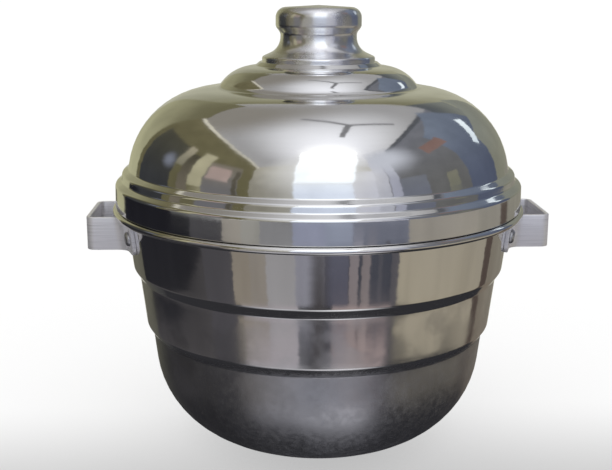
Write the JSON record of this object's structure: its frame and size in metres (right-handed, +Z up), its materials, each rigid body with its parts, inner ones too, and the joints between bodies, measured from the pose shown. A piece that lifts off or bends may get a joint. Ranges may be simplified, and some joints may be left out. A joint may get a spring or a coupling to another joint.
{
  "type": "idli steamer",
  "caption": "Round stepped aluminium pot with strap handles, perforated idli plates on inner ledges and a domed lid with a turned knob, for steaming rice cakes.",
  "frame": {"origin": "centre of the pot's flat base, where it stands", "axes": "+Z up along the pot's axis; handles along X, the right one at +X; +Y away from the viewer"},
  "size_m": [0.2958, 0.266, 0.2815],
  "materials": {
    "pot_sheet": "polished spun sheet, duller towards the base",
    "lid_sheet": "mirror-polished spun sheet",
    "knob_turned": "turned, satin",
    "handle_strap": "brushed mill finish",
    "rivet": "upset, plain",
    "plate_sheet": "pressed sheet, satin",
    "fastener": "zinc plated"
  },
  "bodies": {
    "pot": {"pot_body": "pot_sheet", "right_handle": "handle_strap", "left_handle": "handle_strap", "right_handle_rivets": "rivet", "left_handle_rivets": "rivet"},
    "lower_plate": {"lower_idli_plate": "plate_sheet"},
    "upper_plate": {"upper_idli_plate": "plate_sheet"},
    "lid": {"lid_dome": "lid_sheet", "lid_knob": "knob_turned", "knob_washer": "fastener", "knob_screw": "fastener"}
  },
  "joints": [
    {"name": "lower_plate_lift", "type": "slide", "parent": "pot", "child": "lower_plate", "axis": [0, 0, 1], "range_m": [0, 0.13]},
    {"name": "upper_plate_lift", "type": "slide", "parent": "lower_plate", "child": "upper_plate", "axis": [0, 0, 1], "range_m": [0, 0.1]},
    {"name": "lid_lift", "type": "slide", "parent": "upper_plate", "child": "lid", "axis": [0, 0, 1], "range_m": [0, 0.15]}
  ]
}
